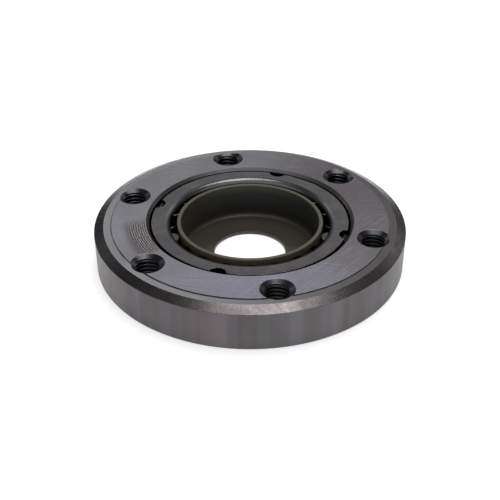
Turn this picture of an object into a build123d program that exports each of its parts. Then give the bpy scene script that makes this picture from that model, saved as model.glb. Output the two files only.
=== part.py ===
from build123d import *
import math
import os

os.makedirs("parts", exist_ok=True)

# Sprag clutch: a bolted outer race, a self-contained ring of sprags in two cages, and the
# plastic sleeve that keeps the sprags in place until the clutch goes onto its hub.
# Millimetres. The origin is the centre of the housing's underside, +Z runs along the
# clutch axis and +X passes through one of the tapped holes.

# Housing: the outer race, bolted to a rotor through six tapped holes
housing_diameter = 94.0
housing_thickness = 13.5
face_chamfer_width = 2.85  # the broad, shallow chamfer round the mounting face
face_chamfer_drop = 1.35
base_chamfer = 0.5
land_width = 5.25  # the ground mounting face stands proud inside this rim
register_height = 0.25
race_diameter = 61.11
race_lead_in = 0.87
lip_diameter = 53.0  # inward lip that the sprag unit sits on
lip_thickness = 1.6
bolt_count = 6
bolt_circle_inset = 0.5275  # from the middle of the wall towards the race
tapping_diameter = 6.8  # tapping drill for M8 x 1.25
mouth_diameter = 10.0
mouth_angle = 120.0  # degrees included, the usual countersink for a thread
back_mouth_chamfer = 0.7

# Hub that the clutch runs on, and the sprags that fill the space around it
hub_diameter = 44.45
sprag_count = 20
cam_radius = 2.6  # both ends of a sprag are cams of this radius
cam_clearance = 0.03
strut_turn = 1.3  # degrees from a sprag's inner cam to its outer cam, about the clutch axis
cam_sweep = 75.0  # degrees of cam to each side of the sprag's middle
waist_depth = 0.55

# Cages: an inner band with a broad notched flange on top, and a plain outer band
cage_turn = 1.3  # degrees from a tapped hole to the nearest notch, as the unit happens to sit
cage_float = 0.1  # axial clearance between the outer cage and the lip
flange_recess = 0.75  # depth of the flange below the mounting face
flange_clearance = 0.7  # radial, from flange to race
cage_sheet = 0.8
bend_radius = 2.1  # on the open side of the bend between band and flange
inner_band_clearance = 1.44  # radial, from band to ribbon spring
outer_cage_clearance = 0.855  # radial, from outer cage to race
outer_cage_sheet = 0.7
cage_end_gap = 0.15  # axial, between the flange and the parts below it
cage_rail = 0.65  # solid rail above and below the windows
window_play = 0.15
outer_window_play = 0.3
notch_count = 4
notch_radius = 2.6
notch_depth = 2.15
notch_corner_radius = 0.4

# Ribbon spring that tips every sprag towards the race
ribbon_thickness = 0.3
ribbon_window_play = 0.45
tongue_reach = 1.2
tongue_height = 3.0
tongue_bend = 20.0  # degrees out of the ribbon
tongue_gap = 0.12

# Drag clips that make the cages follow the race
clip_count = 4
clip_thickness = 0.25
clip_height = 3.2
clip_fit = 0.03
clip_race_clearance = 0.05
clip_crown = 1.2
clip_foot = 0.7
clip_bend_radius = 0.2

# Transport sleeve
sleeve_clearance = 0.075  # radial, below the hub's size
sleeve_wall = 1.2
sleeve_floor = 1.15
sleeve_rim_recess = 0.95
sleeve_base_clearance = 0.1
sleeve_hole_diameter = 22.0
sleeve_inner_fillet = 1.0
sleeve_base_chamfer = 0.4
sleeve_rim_chamfer = 0.25

# Radii and levels that follow from the sizes above
housing_radius = housing_diameter / 2
race_radius = race_diameter / 2
register_radius = housing_radius - land_width
bolt_circle_radius = (housing_radius + race_radius) / 2 - bolt_circle_inset
lip_radius = lip_diameter / 2
hub_radius = hub_diameter / 2
land_level = housing_thickness - register_height
shoulder_level = land_level - face_chamfer_drop

cage_top = housing_thickness - flange_recess
ribbon_radius = (race_radius + hub_radius) / 2
band_outer_radius = ribbon_radius - ribbon_thickness / 2 - inner_band_clearance
band_inner_radius = band_outer_radius - cage_sheet
band_middle_radius = band_outer_radius - cage_sheet / 2
flange_radius = race_radius - flange_clearance
outer_cage_radius = race_radius - outer_cage_clearance
outer_cage_inner_radius = outer_cage_radius - outer_cage_sheet
outer_cage_middle_radius = outer_cage_radius - outer_cage_sheet / 2
held_base = lip_thickness + cage_float
held_top = cage_top - cage_sheet - cage_end_gap
held_height = held_top - held_base
window_height = held_height - 2 * cage_rail
middle_level = (held_base + held_top) / 2
sprag_length = window_height - 2 * window_play
inner_window_width = 2 * (cam_radius + window_play)
outer_window_width = 2 * (cam_radius + outer_window_play)
pitch_angle = 360 / sprag_count


def radial_plane(angle, level):
    """Plane parallel to the housing face whose X direction points out at the given angle."""
    turn = math.radians(angle)
    return Plane(origin=(0, 0, level), x_dir=(math.cos(turn), math.sin(turn), 0), z_dir=(0, 0, 1))


# Housing
with BuildPart() as housing:
    with BuildSketch(Plane.XZ):
        with BuildLine():
            Polyline(
                (lip_radius, 0),
                (housing_radius - base_chamfer, 0),
                (housing_radius, base_chamfer),
                (housing_radius, shoulder_level),
                (housing_radius - face_chamfer_width, land_level),
                (register_radius, land_level),
                (register_radius, housing_thickness),
                (race_radius + race_lead_in, housing_thickness),
                (race_radius, housing_thickness - race_lead_in),
                (race_radius, lip_thickness),
                (lip_radius, lip_thickness),
                close=True,
            )
        make_face()
    revolve(axis=Axis.Z)
    with BuildSketch(Plane.XY):
        with PolarLocations(bolt_circle_radius, bolt_count):
            Circle(tapping_diameter / 2)
    extrude(amount=housing_thickness, mode=Mode.SUBTRACT)
    back_edges = housing.faces().sort_by(Axis.Z)[0].inner_wires().edges()
    back_mouths = back_edges.filter_by(lambda edge: edge.radius < lip_radius / 2)
    chamfer(back_mouths, back_mouth_chamfer)
    mouth_depth = (mouth_diameter - tapping_diameter) / 2 / math.tan(math.radians(mouth_angle / 2))
    with Locations(Plane.XY.offset(housing_thickness - mouth_depth)):
        with PolarLocations(bolt_circle_radius, bolt_count):
            Cone(
                tapping_diameter / 2,
                mouth_diameter / 2,
                mouth_depth,
                align=(Align.CENTER, Align.CENTER, Align.MIN),
                mode=Mode.SUBTRACT,
            )
housing.part.label = "housing"
export_step(housing.part, "parts/housing.step")

# Inner cage: a sheet band bent out into a broad flange, which has notches round its rim
flange_underside = cage_top - cage_sheet
with BuildPart() as inner_cage:
    with BuildSketch(Plane.XZ):
        with BuildLine():
            Polyline(
                (band_inner_radius, cage_top - bend_radius),
                (band_inner_radius, held_base),
                (band_outer_radius, held_base),
                (band_outer_radius, cage_top - bend_radius),
            )
            RadiusArc(
                (band_outer_radius, cage_top - bend_radius),
                (band_inner_radius + bend_radius, flange_underside),
                bend_radius - cage_sheet,
            )
            Polyline(
                (band_inner_radius + bend_radius, flange_underside),
                (flange_radius, flange_underside),
                (flange_radius, cage_top),
                (band_inner_radius + bend_radius, cage_top),
            )
            RadiusArc(
                (band_inner_radius + bend_radius, cage_top),
                (band_inner_radius, cage_top - bend_radius),
                -bend_radius,
            )
        make_face()
    revolve(axis=Axis.Z)
    with Locations(Plane.XY.offset(flange_underside)):
        with PolarLocations(flange_radius - notch_depth + notch_radius, notch_count, cage_turn):
            Cylinder(
                notch_radius,
                cage_sheet,
                align=(Align.CENTER, Align.CENTER, Align.MIN),
                mode=Mode.SUBTRACT,
            )
    upright_edges = inner_cage.edges().filter_by(Axis.Z)
    notch_corners = upright_edges.filter_by(lambda edge: edge.center().Z > flange_underside)
    fillet(notch_corners, notch_corner_radius)
    with Locations(Plane.XY.offset(middle_level)):
        with PolarLocations(band_middle_radius, sprag_count, cage_turn):
            Box(3 * cage_sheet, inner_window_width, window_height, mode=Mode.SUBTRACT)
inner_cage.part.label = "inner_cage"
export_step(inner_cage.part, "parts/inner_cage.step")

# Outer cage: a plain band whose windows line up with the outer cams
with BuildPart() as outer_cage:
    with BuildSketch(Plane.XY.offset(held_base)):
        Circle(outer_cage_radius)
        Circle(outer_cage_inner_radius, mode=Mode.SUBTRACT)
    extrude(amount=held_height)
    with Locations(Plane.XY.offset(middle_level)):
        with PolarLocations(outer_cage_middle_radius, sprag_count, cage_turn + strut_turn):
            Box(3 * outer_cage_sheet, outer_window_width, window_height, mode=Mode.SUBTRACT)
outer_cage.part.label = "outer_cage"
export_step(outer_cage.part, "parts/outer_cage.step")

# Sprags: two cams joined by a hollowed waist, the outer cam a little ahead of the inner one
inner_cam_centre = Vector(hub_radius + cam_clearance + cam_radius, 0)
outer_cam_distance = race_radius - cam_clearance - cam_radius
outer_cam_centre = Vector(outer_cam_distance, 0).rotate(Axis.Z, strut_turn)
sweep_turn = math.radians(cam_sweep)
cam_end_out = cam_radius * math.cos(sweep_turn)
cam_end_side = cam_radius * math.sin(sweep_turn)
outer_tip = outer_cam_centre + Vector(cam_radius, 0)
inner_tip = inner_cam_centre - Vector(cam_radius, 0)
outer_left = outer_cam_centre + Vector(cam_end_out, cam_end_side)
outer_right = outer_cam_centre + Vector(cam_end_out, -cam_end_side)
inner_left = inner_cam_centre + Vector(-cam_end_out, cam_end_side)
inner_right = inner_cam_centre + Vector(-cam_end_out, -cam_end_side)
waist_left = (outer_left + inner_left) / 2 - Vector(0, waist_depth)
waist_right = (outer_right + inner_right) / 2 + Vector(0, waist_depth)

for index in range(sprag_count):
    sprag_name = f"sprag_{index + 1:02d}"
    sprag_base = middle_level - sprag_length / 2
    with BuildPart() as sprag:
        with BuildSketch(radial_plane(cage_turn + index * pitch_angle, sprag_base)):
            with BuildLine():
                ThreePointArc(outer_right, outer_tip, outer_left)
                ThreePointArc(outer_left, waist_left, inner_left)
                ThreePointArc(inner_left, inner_tip, inner_right)
                ThreePointArc(inner_right, waist_right, outer_right)
            make_face()
        extrude(amount=sprag_length)
    sprag.part.label = sprag_name
    export_step(sprag.part, f"parts/{sprag_name}.step")

# Ribbon spring: a windowed strip round the waists, with one tongue bent in to each sprag
waist_edge_left = waist_left.Y
waist_edge_right = waist_right.Y
ribbon_window_right = waist_edge_right - ribbon_window_play
ribbon_window_left = waist_edge_left + tongue_gap + tongue_reach
ribbon_window_width = ribbon_window_left - ribbon_window_right
ribbon_window_middle = (ribbon_window_left + ribbon_window_right) / 2
tongue_root_out = math.sqrt(ribbon_radius**2 - ribbon_window_left**2)
with BuildPart() as ribbon_spring:
    with BuildSketch(Plane.XY.offset(held_base)):
        Circle(ribbon_radius + ribbon_thickness / 2)
        Circle(ribbon_radius - ribbon_thickness / 2, mode=Mode.SUBTRACT)
    extrude(amount=held_height)
    for index in range(sprag_count):
        window_plane = radial_plane(cage_turn + index * pitch_angle, middle_level)
        with Locations(window_plane.location * Pos(ribbon_radius, ribbon_window_middle, 0)):
            Box(6 * ribbon_thickness, ribbon_window_width, window_height, mode=Mode.SUBTRACT)
        tongue_place = Pos(tongue_root_out, ribbon_window_left, 0) * Rot(0, 0, -tongue_bend)
        with Locations(window_plane.location * tongue_place):
            Box(
                ribbon_thickness,
                tongue_reach,
                tongue_height,
                align=(Align.CENTER, Align.MAX, Align.CENTER),
            )
ribbon_spring.part.label = "ribbon_spring"
export_step(ribbon_spring.part, "parts/ribbon_spring.step")

# Drag clips: sprung channels that clasp a bar of the outer cage and rub on the race
bar_half_width = math.pi * outer_cage_middle_radius / sprag_count - outer_window_width / 2
leg_side = bar_half_width + clip_fit + clip_thickness / 2
foot_out = (
    math.sqrt(outer_cage_inner_radius**2 - (leg_side + clip_thickness) ** 2)
    - clip_fit
    - clip_thickness / 2
)
shoulder_out = outer_cage_radius + clip_fit + clip_thickness / 2
crown_out = race_radius - clip_race_clearance - clip_thickness / 2
for index in range(clip_count):
    clip_name = f"drag_clip_{index + 1}"
    clip_angle = cage_turn + strut_turn + pitch_angle / 2 + index * 360 / clip_count
    with BuildPart() as drag_clip:
        with BuildSketch(radial_plane(clip_angle, middle_level - clip_height / 2)):
            with BuildLine():
                FilletPolyline(
                    (foot_out, clip_foot - leg_side),
                    (foot_out, -leg_side),
                    (shoulder_out, -leg_side),
                    (crown_out, -clip_crown / 2),
                    (crown_out, clip_crown / 2),
                    (shoulder_out, leg_side),
                    (foot_out, leg_side),
                    (foot_out, leg_side - clip_foot),
                    radius=clip_bend_radius,
                )
            trace(line_width=clip_thickness)
        extrude(amount=clip_height)
    drag_clip.part.label = clip_name
    export_step(drag_clip.part, f"parts/{clip_name}.step")

# Transport sleeve: a thin-walled cup with a round hole in its floor
sleeve_radius = hub_radius - sleeve_clearance
sleeve_bore_radius = sleeve_radius - sleeve_wall
sleeve_base = sleeve_base_clearance
sleeve_rim = housing_thickness - sleeve_rim_recess
sleeve_floor_top = sleeve_base + sleeve_floor
with BuildPart() as transport_sleeve:
    with BuildSketch(Plane.XZ) as sleeve_section:
        with BuildLine():
            Polyline(
                (sleeve_hole_diameter / 2, sleeve_base),
                (sleeve_radius, sleeve_base),
                (sleeve_radius, sleeve_rim),
                (sleeve_bore_radius, sleeve_rim),
                (sleeve_bore_radius, sleeve_floor_top),
                (sleeve_hole_diameter / 2, sleeve_floor_top),
                close=True,
            )
        make_face()
        rim_corners = sleeve_section.vertices().group_by(Axis.Y)[-1]
        chamfer(rim_corners, sleeve_rim_chamfer)
        outer_corner = sleeve_section.vertices().group_by(Axis.Y)[0].sort_by(Axis.X)[-1]
        chamfer(outer_corner, sleeve_base_chamfer)
        floor_corners = sleeve_section.vertices().filter_by(
            lambda corner: abs(corner.Y - sleeve_floor_top) < sleeve_floor / 4
        )
        fillet(floor_corners.sort_by(Axis.X)[-1], sleeve_inner_fillet)
    revolve(axis=Axis.Z)
transport_sleeve.part.label = "transport_sleeve"
export_step(transport_sleeve.part, "parts/transport_sleeve.step")
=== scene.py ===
"""Sprag clutch dressed for rendering: a bolted outer race, a ring of sprags in two cages and
the plastic sleeve that they are shipped on.

Pieces are sized in metres and finishes in millimetres. Headings are degrees from +X, and turns
are whole turns. The origin is the centre of the housing's underside and +Z is the clutch axis,
out of the mounting face.
"""

import logging
import math
from dataclasses import dataclass
from enum import Enum

import bmesh
import bpy
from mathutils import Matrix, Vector

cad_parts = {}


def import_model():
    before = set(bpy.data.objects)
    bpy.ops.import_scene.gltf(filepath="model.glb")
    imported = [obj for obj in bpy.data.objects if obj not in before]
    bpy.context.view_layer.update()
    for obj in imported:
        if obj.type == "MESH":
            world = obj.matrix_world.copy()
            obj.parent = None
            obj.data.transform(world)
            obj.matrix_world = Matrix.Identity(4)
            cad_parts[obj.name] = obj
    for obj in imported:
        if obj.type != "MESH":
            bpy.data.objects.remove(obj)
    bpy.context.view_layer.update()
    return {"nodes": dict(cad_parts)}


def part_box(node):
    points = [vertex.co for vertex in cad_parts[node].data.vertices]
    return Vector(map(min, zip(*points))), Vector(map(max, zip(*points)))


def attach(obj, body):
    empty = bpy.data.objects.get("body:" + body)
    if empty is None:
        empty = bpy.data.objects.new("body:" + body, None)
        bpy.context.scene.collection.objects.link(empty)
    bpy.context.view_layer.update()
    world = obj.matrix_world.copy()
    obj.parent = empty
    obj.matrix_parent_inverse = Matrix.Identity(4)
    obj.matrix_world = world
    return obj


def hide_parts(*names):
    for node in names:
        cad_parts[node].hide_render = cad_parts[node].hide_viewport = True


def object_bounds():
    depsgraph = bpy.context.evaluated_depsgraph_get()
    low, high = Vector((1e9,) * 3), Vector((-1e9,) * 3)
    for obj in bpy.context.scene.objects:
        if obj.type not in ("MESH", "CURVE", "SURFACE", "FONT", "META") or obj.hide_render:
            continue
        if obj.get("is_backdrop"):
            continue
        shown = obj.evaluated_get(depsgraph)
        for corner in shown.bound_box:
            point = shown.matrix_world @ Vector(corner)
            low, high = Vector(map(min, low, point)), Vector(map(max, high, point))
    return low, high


LOG = logging.getLogger("sprag_clutch")
MM = 0.001
AXIS = (0.0, 0.0)
Point = tuple[float, float]
Place = tuple[float, float, float]
Corner = tuple[float, float, float]  # x, y and the radius that rounds it
Skin = list[list[bmesh.types.BMVert]]  # one side of a sheet, column by column
Colour = tuple[float, float, float]
Ramp = tuple[float, ...]  # a smooth step's start and end, then its results there if not 0 and 1
Feed = bpy.types.NodeSocket | float | tuple[float, ...]  # what may feed a socket


class Part(Enum):
    """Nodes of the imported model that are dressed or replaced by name."""

    HOUSING = "housing"
    INNER_CAGE = "inner_cage"
    OUTER_CAGE = "outer_cage"
    RIBBON = "ribbon_spring"
    SLEEVE = "transport_sleeve"


class Wear(Enum):
    """How strongly the edges of a finish are lightened: partly handling wear, partly a painted edge
    highlight.
    """

    NONE = 0.0
    LIGHT = 0.35
    STRONG = 0.8


# ---------------------------------------------------------------------------------------------
# Shader nodes
# ---------------------------------------------------------------------------------------------


class NodeSheet:
    """Adds and links the nodes of one node tree."""

    def __init__(self, tree: bpy.types.NodeTree) -> None:
        """Keeps the tree.

        Args:
            tree: The node tree that nodes go into.
        """
        self.tree = tree

    def add(self, kind: str, **settings: object) -> bpy.types.Node:
        """Adds one node.

        Args:
            kind: The node's type name.
            settings: Attributes to set on the node.

        Returns:
            The new node.
        """
        node = self.tree.nodes.new(kind)
        for name, value in settings.items():
            setattr(node, name, value)
        return node

    def feed(self, socket: bpy.types.NodeSocket, value: Feed) -> None:
        """Links an output to a socket, or sets the socket to a plain value.

        Args:
            socket: The input socket.
            value: An output socket, a number, or a sequence of numbers.
        """
        if isinstance(value, bpy.types.NodeSocket):
            self.tree.links.new(value, socket)
        else:
            socket.default_value = value

    def math(self, operation: str, first: Feed, second: Feed = 0.0, third: Feed = 0.0,
             clamp: bool = False) -> bpy.types.NodeSocket:
        """Adds a Math node.

        Args:
            operation: The node's operation.
            first: First operand, a socket or a number.
            second: Second operand.
            third: Third operand, for operations that have one.
            clamp: Whether the result stays between 0 and 1.

        Returns:
            The node's output.
        """
        node = self.add("ShaderNodeMath", operation=operation, use_clamp=clamp)
        for socket, value in zip(node.inputs, (first, second, third)):
            self.feed(socket, value)
        return node.outputs[0]

    def times(self, first: Feed, second: Feed) -> bpy.types.NodeSocket:
        """Multiplies two values."""
        return self.math("MULTIPLY", first, second)

    def ramp(self, value: Feed, low: float, high: float, to_low: float = 0.0,
             to_high: float = 1.0) -> bpy.types.NodeSocket:
        """Maps a value smoothly from one range to another.

        Args:
            value: The value to map.
            low: Where the smooth step starts.
            high: Where it ends.
            to_low: The result up to low.
            to_high: The result from high.

        Returns:
            The mapped value.
        """
        node = self.add("ShaderNodeMapRange", interpolation_type="SMOOTHSTEP")
        for socket, number in zip(node.inputs[:5], (value, low, high, to_low, to_high)):
            self.feed(socket, number)
        return node.outputs[0]

    def mix(self, factor: Feed, first: Feed, second: Feed) -> bpy.types.NodeSocket:
        """Mixes two colours.

        Args:
            factor: 0 for the first colour, 1 for the second.
            first: A colour or a colour output.
            second: A colour or a colour output.

        Returns:
            The mixed colour.
        """
        node = self.add("ShaderNodeMix", data_type="RGBA")
        self.feed(node.inputs[0], factor)
        for index, colour in ((6, first), (7, second)):  # the sockets for colours
            self.feed(node.inputs[index], (*colour, 1.0) if isinstance(colour, tuple) else colour)
        return node.outputs[2]

    def blend(self, factor: Feed, first: Feed, second: Feed) -> bpy.types.NodeSocket:
        """Mixes two numbers.

        Args:
            factor: 0 for the first number, 1 for the second.
            first: A number or an output.
            second: A number or an output.

        Returns:
            The mixed number.
        """
        node = self.add("ShaderNodeMix", data_type="FLOAT")
        self.feed(node.inputs[0], factor)
        self.feed(node.inputs[2], first)
        self.feed(node.inputs[3], second)
        return node.outputs[0]

    def vector(self, x: Feed, y: Feed, z: Feed) -> bpy.types.NodeSocket:
        """Joins three numbers, each plain or an output, to a vector.

        Args:
            x: First part.
            y: Second part.
            z: Third part.

        Returns:
            The vector.
        """
        node = self.add("ShaderNodeCombineXYZ")
        for socket, value in zip(node.inputs, (x, y, z)):
            self.feed(socket, value)
        return node.outputs[0]

    def toward(self, bearing: bpy.types.NodeSocket, heading: float) -> bpy.types.NodeSocket:
        """Says how far a bearing points toward a heading.

        Args:
            bearing: The bearing, a unit vector.
            heading: The heading in degrees from +X.

        Returns:
            The cosine of the angle between them.
        """
        node = self.add("ShaderNodeVectorMath", operation="DOT_PRODUCT")
        angle = math.radians(heading)
        self.feed(node.inputs[0], bearing)
        self.feed(node.inputs[1], (math.cos(angle), math.sin(angle), 0.0))
        return node.outputs["Value"]

    def noise(self, vector: Feed, scale: Feed, detail: float = 2.0, rough: float = 0.5,
              stretch: float = 0.0) -> bpy.types.NodeSocket:
        """Adds a noise texture.

        Args:
            vector: Where the noise is read.
            scale: Its scale.
            detail: Its octaves.
            rough: How strong the finer octaves are.
            stretch: Its distortion.

        Returns:
            The noise value, about 0.5 on average.
        """
        node = self.add("ShaderNodeTexNoise")
        for name, value in (("Vector", vector), ("Scale", scale), ("Detail", detail),
                            ("Roughness", rough), ("Distortion", stretch)):
            self.feed(node.inputs[name], value)
        return node.outputs[0]


class EffectGroup:
    """A shader node group that several finishes share."""

    def __init__(self, name: str) -> None:
        """Makes an empty group.

        Args:
            name: The group's name.
        """
        self.tree = bpy.data.node_groups.new(name, "ShaderNodeTree")
        self.sheet = NodeSheet(self.tree)

    def inputs(self, **defaults: float | tuple[float, float, float]) -> bpy.types.Node:
        """Adds the group's inputs.

        Args:
            defaults: The inputs' names and their default values, numbers or vectors.

        Returns:
            The group's input node.
        """
        for name, value in defaults.items():
            title = name.replace("_", " ").title()
            kind = "NodeSocketVector" if isinstance(value, tuple) else "NodeSocketFloat"
            socket = self.tree.interface.new_socket(title, in_out="INPUT", socket_type=kind)
            socket.default_value = value
        return self.sheet.add("NodeGroupInput")

    def outputs(self, **values: bpy.types.NodeSocket) -> None:
        """Adds the group's outputs.

        Args:
            values: The outputs' names and what feeds them.
        """
        kinds = {"VECTOR": "NodeSocketVector", "RGBA": "NodeSocketColor"}
        for name, value in values.items():
            kind = kinds.get(value.type, "NodeSocketFloat")
            title = name.replace("_", " ").title()
            self.tree.interface.new_socket(title, in_out="OUTPUT", socket_type=kind)
        leave = self.sheet.add("NodeGroupOutput")
        for socket, value in zip(leave.inputs, values.values()):
            self.sheet.feed(socket, value)

    def place(self, sheet: NodeSheet, **values: Feed) -> bpy.types.Node:
        """Puts the group into a material.

        Args:
            sheet: The material's node sheet.
            values: What feeds the group's inputs.

        Returns:
            The group node.
        """
        node = sheet.add("ShaderNodeGroup", node_tree=self.tree)
        for name, value in values.items():
            sheet.feed(node.inputs[name.replace("_", " ").title()], value)
        return node


# Steps of noise to the metre, along the scratches and across them
SCRATCHES_ALONG = 60.0
SCRATCHES_ACROSS = 4000.0


class Effects:
    """The shared effects: place round the axis, edge wear, scratches, turning rings, blotches."""

    def __init__(self) -> None:
        """Builds every group once."""
        self.polar = self.build_polar()
        self.edges = self.build_edges()
        self.scratches = self.build_scratches()
        self.rings = self.build_rings()
        self.blotches = self.build_blotches()

    @staticmethod
    def build_polar() -> EffectGroup:
        """Builds the group that says where a point is round the clutch axis.

        Returns:
            The group, with radius and height in millimetres, the turn from +X in whole turns and
            the bearing as a unit vector, which has no seam.
        """
        group = EffectGroup("Round the axis")
        sheet = group.sheet
        place = sheet.add("ShaderNodeTexCoord").outputs["Object"]
        parts = sheet.add("ShaderNodeSeparateXYZ")
        sheet.feed(parts.inputs[0], place)
        squares = [sheet.times(parts.outputs[k], parts.outputs[k]) for k in (0, 1)]
        radius = sheet.math("SQRT", sheet.math("ADD", *squares))
        angle = sheet.math("ARCTAN2", parts.outputs[1], parts.outputs[0])
        ahead = [sheet.math("DIVIDE", parts.outputs[k], radius) for k in (0, 1)]
        group.outputs(
            radius=sheet.math("DIVIDE", radius, MM),
            turn=sheet.math("DIVIDE", angle, math.tau),
            bearing=sheet.vector(*ahead, 0.0),
            height=sheet.math("DIVIDE", parts.outputs[2], MM),
        )
        return group

    @staticmethod
    def build_edges() -> EffectGroup:
        """Builds the group that finds edges, for edge wear and painted edge highlights.

        Returns:
            The group, whose mask is 1 on an edge.
        """
        group = EffectGroup("Edge wear")
        sheet = group.sheet
        entry = group.inputs(width=0.2 * MM, breakup=0.5)
        round_off = sheet.add("ShaderNodeBevel", samples=6)
        sheet.feed(round_off.inputs["Radius"], entry.outputs["Width"])
        flat = sheet.add("ShaderNodeNewGeometry").outputs["Normal"]
        match = sheet.add("ShaderNodeVectorMath", operation="DOT_PRODUCT")
        sheet.feed(match.inputs[0], round_off.outputs[0])
        sheet.feed(match.inputs[1], flat)
        edge = sheet.ramp(match.outputs["Value"], 0.995, 0.90)
        place = sheet.add("ShaderNodeTexCoord").outputs["Object"]
        patchy = sheet.ramp(sheet.noise(place, 900.0, 3.0), 0.35, 0.6)
        whole = sheet.blend(entry.outputs["Breakup"], 1.0, patchy)
        group.outputs(mask=sheet.times(edge, whole))
        return group

    @staticmethod
    def build_scratches() -> EffectGroup:
        """Builds fine straight scratches, as a surface grinder and handling leave them.

        Returns:
            The group, whose height and mask are read along lines at the heading, in degrees.
        """
        group = EffectGroup("Straight scratches")
        sheet = group.sheet
        entry = group.inputs(heading=0.0, spacing=1.0, density=0.5)
        place = sheet.add("ShaderNodeTexCoord").outputs["Object"]
        turn = sheet.add("ShaderNodeVectorRotate", rotation_type="Z_AXIS")
        sheet.feed(turn.inputs["Vector"], place)
        sheet.feed(turn.inputs["Angle"], sheet.math("RADIANS", entry.outputs["Heading"]))
        parts = sheet.add("ShaderNodeSeparateXYZ")
        sheet.feed(parts.inputs[0], turn.outputs[0])
        along = sheet.times(parts.outputs[0], SCRATCHES_ALONG)
        across = sheet.times(parts.outputs[1], SCRATCHES_ACROSS)
        across = sheet.math("DIVIDE", across, entry.outputs["Spacing"])
        lines = sheet.noise(sheet.vector(along, across, 0.0), 1.0, 3.0, 0.6)
        start = sheet.math("SUBTRACT", 0.70, sheet.times(entry.outputs["Density"], 0.2))
        rare = sheet.ramp(lines, start, 0.76)
        group.outputs(height=lines, mask=rare)
        return group

    @staticmethod
    def build_rings() -> EffectGroup:
        """Builds the fine concentric lines that turning leaves.

        Returns:
            The group, whose height runs across the lines.
        """
        group = EffectGroup("Turning rings")
        sheet = group.sheet
        entry = group.inputs(along=0.0, bearing=(0.0, 0.0, 0.0), spacing=0.1)
        across = sheet.math("DIVIDE", entry.outputs["Along"], entry.outputs["Spacing"])
        parts = sheet.add("ShaderNodeSeparateXYZ")
        sheet.feed(parts.inputs[0], entry.outputs["Bearing"])
        waver = [sheet.times(parts.outputs[k], 1.5) for k in (0, 1)]
        group.outputs(height=sheet.noise(sheet.vector(across, *waver), 1.0, 2.0, 0.7))
        return group

    @staticmethod
    def build_blotches() -> EffectGroup:
        """Builds soft uneven patches, for stains and uneven tone and gloss.

        Returns:
            The group, whose mask has large and small patches mixed.
        """
        group = EffectGroup("Blotches")
        sheet = group.sheet
        entry = group.inputs(scale=60.0, contrast=0.5)
        place = sheet.add("ShaderNodeTexCoord").outputs["Object"]
        wide = sheet.noise(place, entry.outputs["Scale"], 3.0, 0.55, 0.6)
        spread = sheet.times(sheet.math("SUBTRACT", wide, 0.5), entry.outputs["Contrast"])
        group.outputs(mask=sheet.math("ADD", sheet.times(spread, 4.0), 0.5, clamp=True))
        return group


# ---------------------------------------------------------------------------------------------
# Finishes
# ---------------------------------------------------------------------------------------------

BRIGHT_GRIT: Colour = (0.50, 0.45, 0.45)
DARK_GRIT: Colour = (0.07, 0.06, 0.06)
BARE_SCRATCH: Colour = (0.46, 0.455, 0.50)
BARE_CROSS_SCRATCH: Colour = (0.46, 0.455, 0.52)
OILY_SCRATCH: Colour = (0.08, 0.075, 0.09)
# Edge colour: partly bare steel worn by handling, partly a painted edge highlight
WORN_EDGE_AND_GLINT: Colour = (0.45, 0.44, 0.45)
BARE_EDGE_ROUGHNESS = 0.3
BARE_RIDGE: Colour = (0.75, 0.70, 0.70)
RUBBED_PLASTIC: Colour = (0.24, 0.23, 0.17)
BUMP_DEPTH = 0.03 * MM


class Surface:
    """A material while its looks are put together, one layer over the other."""

    def __init__(self, name: str, effects: Effects, patches: tuple[float, float],
                 colours: tuple[Colour, Colour], roughness: float, spread: float) -> None:
        """Makes the material, with two colours and two roughnesses mixed in soft patches.

        Args:
            name: The material's name.
            effects: The shared effects.
            patches: The patches' scale and contrast.
            colours: The two colours.
            roughness: The middle of the two roughnesses.
            spread: The difference between them.
        """
        self.material = bpy.data.materials.new(name)
        self.material.use_nodes = True
        self.shader = self.material.node_tree.nodes["Principled BSDF"]
        self.sheet = NodeSheet(self.material.node_tree)
        self.effects = effects
        polar = effects.polar.place(self.sheet)
        self.radius = polar.outputs["Radius"]
        self.turn = polar.outputs["Turn"]
        self.bearing = polar.outputs["Bearing"]
        self.height = polar.outputs["Height"]
        scale, contrast = patches
        patch = effects.blotches.place(self.sheet, scale=scale, contrast=contrast).outputs[0]
        self.colour = self.sheet.mix(patch, *colours)
        self.roughness = self.sheet.blend(patch, roughness - spread / 2, roughness + spread / 2)
        self.bumps: list[tuple[bpy.types.NodeSocket, float]] = []  # heights and their strengths

    def tint(self, mask: Feed, colour: Feed) -> None:
        """Lays a colour over the surface where the mask says."""
        self.colour = self.sheet.mix(mask, self.colour, colour)

    def side(self, heading: float, ramp: Ramp) -> bpy.types.NodeSocket:
        """Gives a mask for the side at a heading, by a ramp over the cosine of the angle to it."""
        return self.sheet.ramp(self.sheet.toward(self.bearing, heading), *ramp)

    def rings(self, along: bpy.types.NodeSocket, spacing: float, strength: float) -> None:
        """Adds turning rings, counted along a radius or a height."""
        place = self.effects.rings.place
        rings = place(self.sheet, along=along, bearing=self.bearing, spacing=spacing)
        self.bumps.append((rings.outputs["Height"], strength))

    def grain(self, scale: float, strength: float, detail: float = 3.0, rough: float = 0.65) -> None:
        """Adds a fine grain, of noise with the given octaves."""
        place = self.sheet.add("ShaderNodeTexCoord").outputs["Object"]
        self.bumps.append((self.sheet.noise(place, scale, detail, rough), strength))

    def finish(self) -> bpy.types.Material:
        """Feeds the shader, with one bump node for each kind of unevenness.

        Returns:
            The finished material.
        """
        self.sheet.feed(self.shader.inputs["Base Color"], self.colour)
        self.sheet.feed(self.shader.inputs["Roughness"], self.roughness)
        normal = None
        for height, strength in self.bumps:
            bump = self.sheet.add("ShaderNodeBump")
            bump.inputs["Strength"].default_value = strength
            bump.inputs["Distance"].default_value = BUMP_DEPTH
            self.sheet.feed(bump.inputs["Height"], height)
            if normal is not None:
                self.sheet.feed(bump.inputs["Normal"], normal)
            normal = bump.outputs[0]
        if normal is not None:
            self.sheet.feed(self.shader.inputs["Normal"], normal)
        return self.material


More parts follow.
